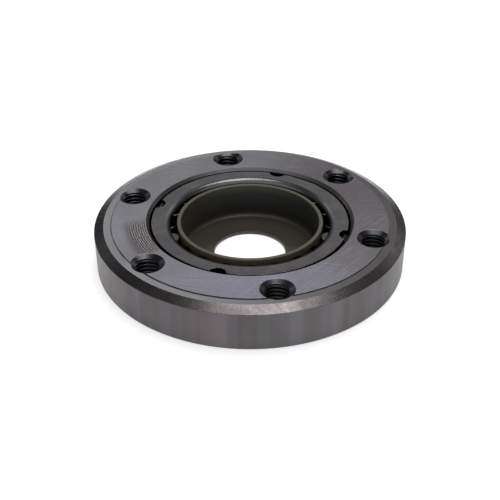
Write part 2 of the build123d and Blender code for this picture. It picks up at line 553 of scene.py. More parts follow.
@dataclass(frozen=True)
class Band:
    """One kind of soft upright band on a turned wall, repeated round it by noise."""

    scale: float
    start: float
    end: float
    colour: Colour
    strength: float = 1.0


RIM_BANDS = (
    Band(1.9, 0.42, 0.70, (0.160, 0.122, 0.130)),
    Band(3.1, 0.50, 0.75, (0.100, 0.108, 0.100)),
    Band(4.5, 0.42, 0.70, (0.150, 0.143, 0.158)),
    Band(15.0, 0.52, 0.68, (0.155, 0.148, 0.160), 0.4),
    Band(19.0, 0.52, 0.70, (0.088, 0.082, 0.086), 0.45),
)


@dataclass(frozen=True)
class SteelFinish:
    """A machined steel surface."""

    name: str
    colour: Colour
    stain: Colour
    roughness: float
    rough_spread: float = 0.1
    blotch_scale: float = 60.0
    blotch_contrast: float = 0.5
    scratch_heading: float | None = None
    scratch_spacing: float = 1.0
    scratch_bump: float = 0.12
    scratch_shine: float = 0.75
    fine_scratch_turn: float = 4.0
    fine_scratch_share: float = 0.45
    fine_scratch_ramp: Ramp = (0.50, 0.30, 0.0, 0.35)
    ring_spacing: float | None = None
    rings_follow_height: bool = False
    ring_bump: float = 0.2
    grain: float = 0.0
    grain_scale: float = 1500.0
    wear: Wear = Wear.LIGHT
    wear_width: float = 0.2
    bands: float = 0.0
    speckle: float = 0.0
    speckle_scale: float = 1900.0
    shade_heading: float = 0.0
    shade_ramp: Ramp = (-0.8, 1.0)
    shade: Colour | None = None
    edge_tint: float = 1.0  # how bright the metal is at a glancing angle

    def build(self, effects: Effects) -> bpy.types.Material:
        """Builds the material.

        Args:
            effects: The shared effects.

        Returns:
            The material.
        """
        surface = Surface(
            self.name, effects, (self.blotch_scale, self.blotch_contrast), (self.colour, self.stain),
            self.roughness, self.rough_spread,
        )
        self.mark(surface)
        if self.bands > 0.0:
            self.tint_bands(surface)
        self.shade_and_speckle(surface)
        if self.scratch_heading is not None:
            self.scratch(surface)
        if self.ring_spacing is not None:
            along = surface.height if self.rings_follow_height else surface.radius
            surface.rings(along, self.ring_spacing, self.ring_bump)
        if self.grain > 0.0:
            surface.grain(self.grain_scale, self.grain)
        if self.wear is not Wear.NONE:
            self.rub_edges(surface)
        surface.shader.inputs["Metallic"].default_value = 1.0
        surface.shader.inputs["Specular Tint"].default_value = (*[self.edge_tint] * 3, 1.0)
        return surface.finish()

    def mark(self, surface: Surface) -> None:
        """Adds marks of the finish's own; plain steel has none."""

    def tint_bands(self, surface: Surface) -> None:
        """Adds soft upright bands of lighter, darker and tinted tone round a turned wall.

        Args:
            surface: The surface so far.
        """
        sheet = surface.sheet
        for band in RIM_BANDS:
            cloud = sheet.noise(surface.bearing, band.scale, 1.0)
            mask = sheet.ramp(cloud, band.start, band.end, 0.0, band.strength)
            surface.tint(sheet.times(mask, self.bands), band.colour)

    def shade_and_speckle(self, surface: Surface) -> None:
        """Darkens one side and strews bright and dark grit over the rest.

        Args:
            surface: The surface so far.
        """
        sheet = surface.sheet
        speckle: Feed = self.speckle
        if self.shade is not None:
            side = surface.side(self.shade_heading, self.shade_ramp)
            surface.tint(side, self.shade)
            speckle = sheet.times(sheet.math("SUBTRACT", 1.0, side), self.speckle)
        if self.speckle > 0.0:
            grit = surface.effects.blotches.place(sheet, scale=self.speckle_scale, contrast=1.0)
            for ramp, tint in (((0.55, 1.0), BRIGHT_GRIT), ((0.40, 0.0), DARK_GRIT)):
                surface.tint(sheet.times(sheet.ramp(grit.outputs[0], *ramp), speckle), tint)

    def scratch(self, surface: Surface) -> None:
        """Adds the bright straight scratches and, a little turned, the fine dark ones.

        Args:
            surface: The surface so far.
        """
        sheet, place = surface.sheet, surface.effects.scratches.place
        coarse = place(sheet, heading=self.scratch_heading, spacing=self.scratch_spacing)
        surface.bumps.append((coarse.outputs["Height"], self.scratch_bump))
        surface.tint(sheet.times(coarse.outputs["Mask"], self.scratch_shine), BARE_SCRATCH)
        fine = place(sheet, heading=self.scratch_heading + self.fine_scratch_turn,
                     spacing=self.scratch_spacing * self.fine_scratch_share)
        surface.tint(sheet.ramp(fine.outputs["Height"], *self.fine_scratch_ramp), OILY_SCRATCH)

    def rub_edges(self, surface: Surface) -> None:
        """Lightens the edges as the wear says: partly handling wear, partly a painted edge
        highlight.

        Args:
            surface: The surface so far.
        """
        sheet = surface.sheet
        edge = surface.effects.edges.place(sheet, width=self.wear_width * MM)
        shine = sheet.times(edge.outputs[0], self.wear.value)
        surface.tint(shine, WORN_EDGE_AND_GLINT)
        surface.roughness = sheet.blend(shine, surface.roughness, BARE_EDGE_ROUGHNESS)


@dataclass(frozen=True)
class GroundFinish(SteelFinish):
    """A ground face with painted shade toward one side and a painted bluish highlight toward
    another, and a patch of fine arcs left by a chattering tool.
    """

    # Painted shade: the face is darker toward this heading.
    painted_shade_heading: float = 38.0
    painted_shade_ramp: Ramp = (0.6, 1.5, 0.0, 0.9)
    painted_shade_tint: Colour = (0.138, 0.122, 0.132)
    # Painted highlight: the face is brighter and bluish toward this heading.
    painted_highlight_heading: float = 283.0
    painted_highlight_ramp: Ramp = (1.05, 1.6, 0.0, 0.75)
    painted_highlight_tint: Colour = (0.292, 0.284, 0.362)
    cloud_scale: float = 2.2
    cross_heading: float = -68.0
    cross_spacing: float = 2.2
    cross_density: float = 0.9
    cross_side: float = 325.0
    cross_ramp: Ramp = (0.45, 0.85, 0.0, 0.6)
    patch_inner: float = 31.2
    patch_outer: float = 38.2
    patch_start: float = -0.445
    patch_end: float = -0.345
    start_fade: float = 0.03
    end_fade: float = 0.012
    inner_fade: float = 0.4
    outer_fade: float = 3.2
    stain_beyond: float = 1.2
    stain_within: float = 2.2
    stain_tint: Colour = (0.088, 0.072, 0.075)
    stain_breakup: Ramp = (0.20, 0.55, 0.55, 0.95)
    arc_pitch: float = 0.64
    arc_waver: float = 5.0
    arc_tint: Colour = (0.02, 0.014, 0.014)
    arc_breakup: Ramp = (0.34, 0.62)
    arc_bump: float = 0.25
    ridge_ramp: Ramp = (0.36, 0.06)
    ridge_shine: float = 0.75

    def mark(self, surface: Surface) -> None:
        """Adds the painted shade and the painted bluish highlight of two sides, the crossing
        scratches and the patch of arcs.

        Args:
            surface: The surface so far.
        """
        sheet = surface.sheet
        cloud = sheet.noise(surface.bearing, self.cloud_scale, 3.0)
        # Paints shade toward one heading and a bluish highlight toward another.
        for heading, ramp, tint in (
            (self.painted_shade_heading, self.painted_shade_ramp, self.painted_shade_tint),
            (self.painted_highlight_heading, self.painted_highlight_ramp, self.painted_highlight_tint),
        ):
            side = sheet.math("ADD", sheet.toward(surface.bearing, heading), cloud)
            surface.tint(sheet.ramp(side, *ramp), tint)
        crossing = surface.effects.scratches.place(
            sheet, heading=self.cross_heading, spacing=self.cross_spacing, density=self.cross_density
        )
        side = surface.side(self.cross_side, self.cross_ramp)
        surface.tint(sheet.times(crossing.outputs["Mask"], side), BARE_CROSS_SCRATCH)
        self.chatter(surface)

    def chatter(self, surface: Surface) -> None:
        """Adds the stained patch of arcs, with dark grooves and bright ridges.

        Args:
            surface: The surface so far.
        """
        sheet, radius, turn = surface.sheet, surface.radius, surface.turn
        waver = sheet.noise(sheet.vector(radius, sheet.times(turn, 60.0), 3.0), 0.8, 2.0)
        phase = sheet.times(radius, math.tau / self.arc_pitch)
        phase = sheet.math("MULTIPLY_ADD", waver, self.arc_waver, phase)
        wave = sheet.math("MULTIPLY_ADD", sheet.math("SINE", phase), 0.5, 0.5)
        outer = self.patch_outer
        sector = sheet.times(
            sheet.ramp(turn, self.patch_start, self.patch_start + self.start_fade),
            sheet.ramp(turn, self.patch_end, self.patch_end - self.end_fade),
        )
        inside = sheet.ramp(radius, self.patch_inner, self.patch_inner + self.inner_fade)
        sector = sheet.times(sector, inside)
        broken = sheet.noise(sheet.vector(radius, sheet.times(turn, 300.0), 0.0), 1.3, 2.0)
        fade = sheet.ramp(radius, outer + self.stain_beyond, outer - self.stain_within)
        stain = sheet.times(sheet.times(sector, fade), sheet.ramp(broken, *self.stain_breakup))
        fade = sheet.ramp(radius, outer, outer - self.outer_fade)
        patch = sheet.times(sheet.times(sector, fade), sheet.ramp(broken, *self.arc_breakup))
        grooves = sheet.times(patch, wave)
        ridges = sheet.times(patch, sheet.ramp(wave, *self.ridge_ramp))
        surface.tint(stain, self.stain_tint)
        surface.tint(grooves, self.arc_tint)
        surface.tint(sheet.times(ridges, self.ridge_shine), BARE_RIDGE)
        surface.bumps.append((grooves, self.arc_bump))


@dataclass(frozen=True)
class SpragFinish(SteelFinish):
    """Polished cams whose ends carry painted shade, near black, save at two headings where lighter
    ends are painted as caught light.
    """

    # Painted shade: the ends are near black; painted light: lighter ends at two headings.
    shaded_end: Colour = (0.006, 0.006, 0.006)
    lit_end: Colour = (0.098, 0.098, 0.094)
    lit_headings: tuple[float, float] = (1.3, 217.3)
    lit_ramp: Ramp = (0.985, 0.99)
    end_ramp: Ramp = (0.90, 0.98)
    grit_scale: float = 6000.0
    grit_bump: float = 1.0

    def mark(self, surface: Surface) -> None:
        """Paints shade on the two ends, with painted light at two headings, and adds grit to the
        shaded ends.

        Args:
            surface: The surface so far.
        """
        sheet = surface.sheet
        facing = sheet.add("ShaderNodeSeparateXYZ")
        sheet.feed(facing.inputs[0], sheet.add("ShaderNodeTexCoord").outputs["Normal"])
        end = sheet.ramp(sheet.math("ABSOLUTE", facing.outputs[2]), *self.end_ramp)
        lit_side: Feed = 0.0
        # Sprags at these headings get painted light on their ends.
        for heading in self.lit_headings:
            lit_side = sheet.math("MAXIMUM", lit_side, surface.side(heading, self.lit_ramp))
        surface.tint(end, sheet.mix(lit_side, self.shaded_end, self.lit_end))
        place = sheet.add("ShaderNodeTexCoord").outputs["Object"]
        grit = sheet.noise(place, self.grit_scale, 3.0, 0.7)
        shade_mask = sheet.times(end, sheet.math("SUBTRACT", 1.0, lit_side))
        surface.bumps.append((sheet.times(grit, shade_mask), self.grit_bump))


@dataclass(frozen=True)
class CageFinish(SteelFinish):
    """Phosphated sheet with a painted highlight round the bend."""

    # Painted highlight: the bend is lighter between these radii.
    sheen_start: float = 25.9
    sheen_end: float = 24.6
    bend_sheen: Colour = (0.205, 0.20, 0.207)

    def mark(self, surface: Surface) -> None:
        """Paints a highlight round the bend."""
        surface.tint(surface.sheet.ramp(surface.radius, self.sheen_start, self.sheen_end), self.bend_sheen)


@dataclass(frozen=True)
class LandFinish(SteelFinish):
    """A turned land with painted shade in the corner under the register."""

    corner_radius: float = 41.75
    # Painted shade: a dark line in the corner under the register, fainter toward one heading.
    corner_shade_width: float = 0.55
    corner_shade: Colour = (0.035, 0.033, 0.035)
    corner_shade_breakup: Ramp = (0.3, 0.55, 0.45, 1.0)
    faint_heading: float = 10.0
    faint_ramp: Ramp = (0.2, 0.85, 1.0, 0.35)

    def mark(self, surface: Surface) -> None:
        """Adds the line of painted shade in the corner.

        Args:
            surface: The surface so far.
        """
        sheet = surface.sheet
        corner = self.corner_radius
        # Paints the shade line in the corner.
        line = sheet.ramp(surface.radius, corner + self.corner_shade_width, corner + 0.05)
        patchy = sheet.ramp(sheet.noise(surface.bearing, 9.0, 3.0), *self.corner_shade_breakup)
        patchy = sheet.times(patchy, surface.side(self.faint_heading, self.faint_ramp))
        surface.tint(sheet.times(line, patchy), self.corner_shade)


@dataclass(frozen=True)
class PlasticFinish:
    """The sleeve's moulded plastic, with painted shade down its inside wall, a painted highlight on
    its rim and an outer wall that is lighter, partly painted light.
    """

    name: str
    colour: Colour
    shade: Colour
    roughness: float
    rough_spread: float = 0.12
    blotches: tuple[float, float] = (70.0, 0.6)
    # Painted shade down the far side of the inside wall.
    wall_shade: Colour = (0.009, 0.010, 0.009)
    wall_shade_roughness: float = 0.55
    wall_shade_heading: float = 84.0
    wall_shade_ramp: Ramp = (-0.2, 0.9, 0.25, 1.0)
    wall_shade_at_lip: float = 0.35
    # Painted highlight: the rim's top is paler.
    rim: Colour = (0.118, 0.114, 0.088)
    rim_roughness: float = 0.5
    lip: Colour = (0.060, 0.058, 0.030)
    # Outer wall colour: lighter and browner than the inside, partly its own tone, partly painted
    # light.
    outside: Colour = (0.120, 0.090, 0.068)
    bore_radius: float = 20.95
    floor_height: float = 1.25
    rim_height: float = 12.55
    rub_width: float = 0.25
    rub_breakup: float = 0.2
    ring_spacing: float = 0.25
    ring_bump: float = 0.05
    skin_scale: float = 2500.0
    skin_bump: float = 0.12

    def build(self, effects: Effects) -> bpy.types.Material:
        """Builds the material.

        Args:
            effects: The shared effects.

        Returns:
            The material.
        """
        surface = Surface(
            self.name, effects, self.blotches, (self.colour, self.shade), self.roughness,
            self.rough_spread,
        )
        sheet, radius, height = surface.sheet, surface.radius, surface.height
        inside = sheet.ramp(radius, self.bore_radius + 0.3, self.bore_radius + 0.1)
        # The outer wall gets its lighter colour, partly painted light.
        surface.colour = sheet.mix(inside, self.outside, surface.colour)
        wall = sheet.ramp(height, self.floor_height + 0.2, self.floor_height + 3.0)
        lip = sheet.ramp(height, self.rim_height - 3.5, self.rim_height - 0.5)
        surface.tint(sheet.times(inside, lip), self.lip)
        wall = sheet.times(wall, sheet.blend(lip, 1.0, self.wall_shade_at_lip))
        # Painted shade on the far side of the inside wall.
        far = surface.side(self.wall_shade_heading, self.wall_shade_ramp)
        shade_mask = sheet.times(sheet.times(inside, wall), far)
        # Painted highlight on the rim's top.
        rim = sheet.ramp(height, self.rim_height - 0.5, self.rim_height - 0.15)
        for mask, colour, roughness in (
            (shade_mask, self.wall_shade, self.wall_shade_roughness),
            (rim, self.rim, self.rim_roughness),
        ):
            surface.tint(mask, colour)
            surface.roughness = sheet.blend(mask, surface.roughness, roughness)
        edge = effects.edges.place(sheet, width=self.rub_width * MM, breakup=self.rub_breakup)
        surface.tint(sheet.times(edge.outputs[0], Wear.LIGHT.value / 2), RUBBED_PLASTIC)
        surface.rings(radius, self.ring_spacing, self.ring_bump)
        surface.grain(self.skin_scale, self.skin_bump, 2.0, 0.5)
        return surface.finish()


class Finishes:
    """Every material of the clutch, built once."""

    def __init__(self, effects: Effects) -> None:
        """Builds the materials.

        Args:
            effects: The shared effects.
        """
        self.ground_face = GroundFinish(
            "ground_face", (0.262, 0.256, 0.288), (0.236, 0.228, 0.246), 0.34, blotch_scale=30.0,
            blotch_contrast=0.7, scratch_heading=-12.0, scratch_spacing=1.6, ring_spacing=0.22,
            ring_bump=0.06, wear=Wear.STRONG, speckle=0.09, grain=0.14, grain_scale=1100.0,
        ).build(effects)
        self.outer_land = LandFinish(
            "turned_land", (0.32, 0.312, 0.33), (0.27, 0.265, 0.285), 0.36, ring_spacing=0.12,
            ring_bump=0.15, shade_heading=16.0, shade_ramp=(-0.35, 0.95),
            shade=(0.108, 0.103, 0.110),
        ).build(effects)
        # Painted shade on the step wall under the register.
        self.shoulder = SteelFinish(
            "shaded_shoulder", (0.05, 0.048, 0.05), (0.03, 0.03, 0.032), 0.45, wear=Wear.NONE,
        ).build(effects)
        self.chamfer = SteelFinish(
            "rough_chamfer", (0.165, 0.150, 0.151), (0.120, 0.108, 0.109), 0.26, blotch_scale=300.0,
            ring_spacing=0.35, grain=0.35, wear_width=0.12, speckle=0.12,
            shade_heading=197.0, shade_ramp=(0.45, 1.0), shade=(0.042, 0.040, 0.044),
        ).build(effects)
        self.rim = SteelFinish(
            "turned_rim", (0.119, 0.111, 0.117), (0.101, 0.095, 0.100), 0.42, ring_spacing=0.16,
            rings_follow_height=True, ring_bump=0.18, bands=0.7,
        ).build(effects)
        self.lead_in = SteelFinish(
            "turned_lead_in", (0.24, 0.236, 0.244), (0.19, 0.187, 0.193), 0.28,
        ).build(effects)
        self.race = SteelFinish(
            "honed_race", (0.25, 0.25, 0.255), (0.2, 0.2, 0.205), 0.22, wear=Wear.NONE,
        ).build(effects)
        self.thread = SteelFinish(
            "tapped_thread", (0.100, 0.104, 0.110), (0.060, 0.063, 0.066), 0.27, wear=Wear.NONE,
        ).build(effects)
        # Painted shade in the countersinks.
        self.mouth = SteelFinish(
            "shaded_mouth", (0.080, 0.077, 0.087), (0.052, 0.050, 0.058), 0.27, wear_width=0.12,
        ).build(effects)
        self.cage = CageFinish(
            "phosphated_sheet", (0.096, 0.091, 0.095), (0.078, 0.074, 0.079), 0.25,
            blotch_scale=220.0, ring_spacing=0.35, ring_bump=0.25, grain=0.25, grain_scale=1800.0,
            wear=Wear.STRONG, wear_width=0.25,
        ).build(effects)
        # Painted shade: the outer cage, seen only down the notches, is near black.
        self.hidden_cage = SteelFinish(
            "shaded_sheet", (0.035, 0.035, 0.038), (0.02, 0.02, 0.022), 0.34, wear=Wear.NONE,
        ).build(effects)
        self.spring = SteelFinish(
            "blued_strip", (0.05, 0.052, 0.062), (0.035, 0.036, 0.043), 0.33, wear=Wear.NONE,
        ).build(effects)
        self.sprag = SpragFinish(
            "tumbled_sprag", (0.20, 0.20, 0.205), (0.15, 0.15, 0.155), 0.28, grain=0.15,
            grain_scale=3000.0, wear=Wear.STRONG, wear_width=0.25, edge_tint=0.2,
        ).build(effects)
        self.sleeve = PlasticFinish(
            "olive_plastic", (0.072, 0.060, 0.050), (0.056, 0.047, 0.039), 0.32,
        ).build(effects)


# ---------------------------------------------------------------------------------------------
# Mesh helpers
# ---------------------------------------------------------------------------------------------


def spoke(centre: Point, reach: float, angle: float, height: float) -> Place:
    """Gives the point at an angle and a reach from an upright axis."""
    return (centre[0] + reach * math.cos(angle), centre[1] + reach * math.sin(angle), height)


def rounded(corners: list[Corner], steps: int = 4) -> list[Point]:
    """Rounds the corners of a closed outline.

    Args:
        corners: Points as (x, y, corner radius), in order.
        steps: Straight pieces in each rounded corner.

    Returns:
        The outline's points.
    """
    outline: list[Point] = []
    count = len(corners)
    for index, (x, y, radius) in enumerate(corners):
        here = Vector((x, y))
        if radius <= 0.0:
            outline.append((x, y))
            continue
        back = (Vector(corners[index - 1][:2]) - here).normalized()
        ahead = (Vector(corners[(index + 1) % count][:2]) - here).normalized()
        half = back.angle(ahead) / 2
        reach = radius / math.tan(half)
        centre = here + (back + ahead).normalized() * (radius / math.sin(half))
        start = here + back * reach - centre
        sweep = start.angle_signed(here + ahead * reach - centre)
        for step in range(steps + 1):
            angle = -sweep * step / steps
            turned = Vector((
                start.x * math.cos(angle) - start.y * math.sin(angle),
                start.x * math.sin(angle) + start.y * math.cos(angle),
            ))
            outline.append(tuple(centre + turned))
    return outline


def lathe(name: str, outline: list[Point], segments: int) -> bpy.types.Object:
    """Turns a closed outline of (radius, height) round the axis.

    Args:
        name: The new object's name.
        outline: The outline, anticlockwise with the radius to the right and height up.
        segments: Steps round the axis.

    Returns:
        The object.
    """
    verts = []
    for step in range(segments):
        angle = math.tau * step / segments
        verts += [spoke(AXIS, reach, angle, height) for reach, height in outline]
    count = len(outline)
    faces = []
    for step in range(segments):
        here, there = step * count, (step + 1) % segments * count
        for k in range(count):
            after = (k + 1) % count
            faces.append((here + k, there + k, there + after, here + after))
    mesh = bpy.data.meshes.new(name)
    mesh.from_pydata(verts, [], faces)
    mesh.update()
    return place_object(name, mesh)


def place_object(name: str, data: bpy.types.ID) -> bpy.types.Object:
    """Makes an object of a mesh, a lamp or a camera and puts it into the scene.

    Args:
        name: The object's name.
        data: What it holds.

    Returns:
        The object.
    """
    made = bpy.data.objects.new(name, data)
    bpy.context.scene.collection.objects.link(made)
    return made


def from_bmesh(name: str, body: bmesh.types.BMesh) -> bpy.types.Object:
    """Makes an object of a finished bmesh.

    Args:
        name: The object's name.
        body: The bmesh, which is freed.

    Returns:
        The object.
    """
    mesh = bpy.data.meshes.new(name)
    body.to_mesh(mesh)
    body.free()
    return place_object(name, mesh)


def ease_edges(made: bpy.types.Object, width: float) -> None:
    """Adds a small round to an object's edges.

    Args:
        made: The object.
        width: Width of the rounded edge.
    """
    ease = made.modifiers.new("eased_edges", "BEVEL")
    ease.width = width
    ease.segments = 2
    ease.limit_method = "ANGLE"
    ease.angle_limit = math.radians(40.0)


def keep_flats(made: bpy.types.Object) -> bpy.types.Modifier:
    """Keeps an object's flat faces shaded flat.

    Args:
        made: The object.

    Returns:
        The modifier.
    """
    weigh = made.modifiers.new("flat_faces_stay_flat", "WEIGHTED_NORMAL")
    weigh.weight = 100
    return weigh


def smooth(made: bpy.types.Object, sharp_degrees: float = 30.0, bevel: float = 0.0) -> None:
    """Shades an object smooth, with its flat faces kept flat and its edges eased.

    Args:
        made: The object.
        sharp_degrees: Edges sharper than this stay sharp.
        bevel: Width of the eased edge, or 0 for none.
    """
    if bevel > 0.0:
        ease_edges(made, bevel)
    made.data.polygons.foreach_set("use_smooth", [True] * len(made.data.polygons))
    made.data.set_sharp_from_angle(angle=math.radians(sharp_degrees))
    keep_flats(made).keep_sharp = True


def apply_modifiers(made: bpy.types.Object) -> None:
    """Replaces an object's mesh with its modified mesh.

    Args:
        made: The object.
    """
    graph = bpy.context.evaluated_depsgraph_get()
    finished = bpy.data.meshes.new_from_object(made.evaluated_get(graph))
    made.modifiers.clear()
    made.data = finished


def cut(made: bpy.types.Object, cutter: bpy.types.Object) -> None:
    """Cuts one object with another and deletes the cutter.

    Args:
        made: The object that stays.
        cutter: The object that is taken away from it.
    """
    step = made.modifiers.new("cut", "BOOLEAN")
    step.operation = "DIFFERENCE"
    step.object = cutter
    step.solver = "MANIFOLD"
    apply_modifiers(made)
    bpy.data.objects.remove(cutter)


# ---------------------------------------------------------------------------------------------
# The clutch's pieces
# ---------------------------------------------------------------------------------------------


@dataclass
class Housing:
    """The outer race, with real threads in its six holes."""

    finishes: Finishes
    chamfer_width: float = 2.85 * MM
    chamfer_drop: float = 1.35 * MM
    base_chamfer: float = 0.5 * MM
    land_width: float = 5.25 * MM
    register_height: float = 0.25 * MM
    race_radius: float = 30.555 * MM
    race_lead_in: float = 0.87 * MM
    lip_radius: float = 26.5 * MM
    lip_thickness: float = 1.6 * MM
    bolt_count: int = 6
    bolt_circle: float = 38.25 * MM
    mouth_radius: float = 5.0 * MM
    mouth_angle: float = 120.0
    back_mouth_radius: float = 4.1 * MM
    mouth_flare: float = 0.06 * MM
    mouth_overlap: float = 0.4 * MM
    mouth_rise: float = 1.0 * MM
    thread_radius: float = 4.0 * MM
    thread_minor: float = 3.45 * MM
    pitch: float = 1.25 * MM
    thread_turn: tuple[Point, ...] = (
        (0.0, 1.0), (0.125, 1.0), (0.28, 0.5), (0.4375, 0.0), (0.6875, 0.0), (0.84, 0.5)
    )
    thread_steps: int = 48
    mouth_steps: int = 72
    ring_steps: int = 360
    edge_round: float = 0.15 * MM

    def build(self) -> bpy.types.Object:
        """Builds the housing.

        Returns:
            The housing's object.
        """
        _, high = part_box(Part.HOUSING.value)
        radius, top = high.x, high.z
        ring = lathe("housing_ring", rounded(self.section(radius, top)), self.ring_steps)
        cut(ring, self.threads(top))
        cut(ring, self.mouths(top))
        self.paint(ring, radius, top)
        smooth(ring)
        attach(ring, Part.HOUSING.value)
        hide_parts(Part.HOUSING.value)
        return ring

    def section(self, radius: float, top: float) -> list[Corner]:
        """Gives the ring's section.

        Args:
            radius: The housing's outer radius.
            top: The height of its mounting face.

        Returns:
            Corners as (radius, height, rounding).
        """
        land = top - self.register_height
        soft = self.edge_round
        fine = soft / 3
        return [
            (self.lip_radius, 0.0, fine),
            (radius - self.base_chamfer, 0.0, fine),
            (radius, self.base_chamfer, fine),
            (radius, land - self.chamfer_drop, soft),
            (radius - self.chamfer_width, land, soft),
            (radius - self.land_width, land, fine),
            (radius - self.land_width, top, fine),
            (self.race_radius + self.race_lead_in, top, fine),
            (self.race_radius, top - self.race_lead_in, fine),
            (self.race_radius, self.lip_thickness, fine),
            (self.lip_radius, self.lip_thickness, fine),
        ]

    def centres(self) -> list[Point]:
        """Gives the holes' centres, the first of them on +X."""
        angles = [math.tau * k / self.bolt_count for k in range(self.bolt_count)]
        return [(self.bolt_circle * math.cos(a), self.bolt_circle * math.sin(a)) for a in angles]

    def threads(self, top: float) -> bpy.types.Object:
        """Builds the shapes of the taps, which cut the threaded holes.

        Args:
            top: The height of the mounting face.

        Returns:
            One object with a screw-shaped solid for each hole.
        """
        body = bmesh.new()
        for centre in self.centres():
            self.tap(body, centre, math.ceil(top / self.pitch) + 4)
        return from_bmesh("taps", body)

    def tap(self, body: bmesh.types.BMesh, centre: Point, turns: int) -> None:
        """Adds one tap, a grid of columns that climb by a pitch in a turn, with a cone at each end.

        Args:
            body: The bmesh.
            centre: The hole's centre.
            turns: How many turns it has.
        """
        around, per_turn = self.thread_steps, len(self.thread_turn)
        rows = turns * per_turn
        start = -2.5 * self.pitch
        depth = self.thread_radius - self.thread_minor
        grid = []
        for i in range(around):
            column = []
            for j in range(rows + 1):
                place, share = self.thread_turn[j % per_turn]
                height = start + self.pitch * (j // per_turn + place + i / around)
                reach = self.thread_minor + depth * share
                column.append(body.verts.new(spoke(centre, reach, math.tau * i / around, height)))
            grid.append(column)
        for here, there in zip(grid, grid[1:]):
            for j in range(rows):
                body.faces.new((here[j], there[j], there[j + 1], here[j + 1]))
        first, last = grid[0], grid[-1]
        for j in range(rows - per_turn):
            body.faces.new((last[j], first[j + per_turn], first[j + per_turn + 1], last[j + 1]))
        below = [column[0] for column in grid] + first[per_turn:0:-1]
        above = [column[-1] for column in grid] + last[-2:-per_turn - 2:-1]
        base, crown = start - self.pitch, start + (turns + 2) * self.pitch
        for rim, height, flip in ((below, base, True), (above, crown, False)):
            tip = body.verts.new((*centre, height))
            for k, vert in enumerate(rim):
                after = rim[(k + 1) % len(rim)]
                body.faces.new((after, vert, tip) if flip else (vert, after, tip))

    def mouths(self, top: float) -> bpy.types.Object:
        """Builds the countersinks at both ends of the holes.

        Args:
            top: The height of the mounting face.

        Returns:
            One object with two solids for each hole.
        """
        steep = math.tan(math.radians(self.mouth_angle / 2))
        body = bmesh.new()
        for centre in self.centres():
            self.countersink(body, centre, self.mouth_radius, steep, top, True)
            self.countersink(body, centre, self.back_mouth_radius, 1.0, 0.0, False)
        return from_bmesh("mouths", body)

    def countersink(self, body: bmesh.types.BMesh, centre: Point, mouth: float, slope: float,
                    level: float, up: bool) -> None:
        """Adds one countersink, whose rim is flared a little.

        Args:
            body: The bmesh.
            centre: The hole's centre.
            mouth: Its radius at the face.
            slope: How much the radius shrinks for each step in.
            level: The height of the face.
            up: Whether it opens upward.
        """
        around, flare = self.mouth_steps, self.mouth_flare
        narrow = self.thread_minor - self.mouth_overlap
        shape = [
            (narrow, (narrow - mouth) / slope),
            (mouth - flare, -flare / slope),
            (mouth - 0.3 * flare, -0.25 * flare),
            (mouth + 0.6 * flare, 0.0),
            (mouth + 0.6 * flare, self.mouth_rise),
        ]
        loops = []
        for reach, lift in shape:
            height = level + lift if up else level - lift
            loops.append([
                body.verts.new(spoke(centre, reach, math.tau * k / around, height))
                for k in range(around)
            ])
        for lower, upper in zip(loops, loops[1:]):
            for k in range(around):
                n = (k + 1) % around
                quad = (lower[k], lower[n], upper[n], upper[k])
                body.faces.new(quad if up else quad[::-1])
        body.faces.new(loops[0][::-1] if up else loops[0])
        body.faces.new(loops[-1] if up else loops[-1][::-1])

    def paint(self, ring: bpy.types.Object, radius: float, top: float) -> None:
        """Gives each face of the ring its finish.

        Args:
            ring: The ring.
            radius: The housing's outer radius.
            top: The height of its mounting face.
        """
        looks = self.finishes
        order = (looks.ground_face, looks.outer_land, looks.shoulder, looks.chamfer, looks.rim,
                 looks.lead_in, looks.race, looks.thread, looks.mouth)
        ring.data.materials.clear()
        for material in order:
            ring.data.materials.append(material)
        place = {material.name: k for k, material in enumerate(order)}
        near = 0.02 * MM
        land = top - self.register_height
        holes = self.centres()
        for face in ring.data.polygons:
            centre = face.center
            out = math.hypot(centre.x, centre.y)
            hole = min(math.hypot(centre.x - x, centre.y - y) for x, y in holes)
            flat = abs(face.normal.z) > 0.9 and (centre.z > land - near or centre.z < near)
            on_shoulder = abs(out - radius + self.land_width) < near and abs(face.normal.z) < 0.5
            if self.thread_radius - near < hole < self.mouth_radius + near and not flat:
                look = looks.mouth
            elif hole < self.mouth_radius and not flat:
                look = looks.thread
            elif on_shoulder and centre.z > land - near:
                look = looks.shoulder
            elif centre.z > top - near:
                look = looks.ground_face
            elif out < self.bolt_circle and centre.z > top - self.race_lead_in:
                look = looks.lead_in
            elif out < self.race_radius + near and centre.z > near:
                look = looks.race
            elif centre.z > land - near and out < radius - self.chamfer_width + near:
                look = looks.outer_land
            elif centre.z > land - self.chamfer_drop:
                look = looks.chamfer
            elif centre.z < near:
                look = looks.outer_land
            else:
                look = looks.rim
            face.material_index = place[look.name]


@dataclass(frozen=True)
class Column:
    """One step round the inner cage: angle, the flange's radius, whether a window runs on."""

    angle: float
    rim: float
    in_window: bool


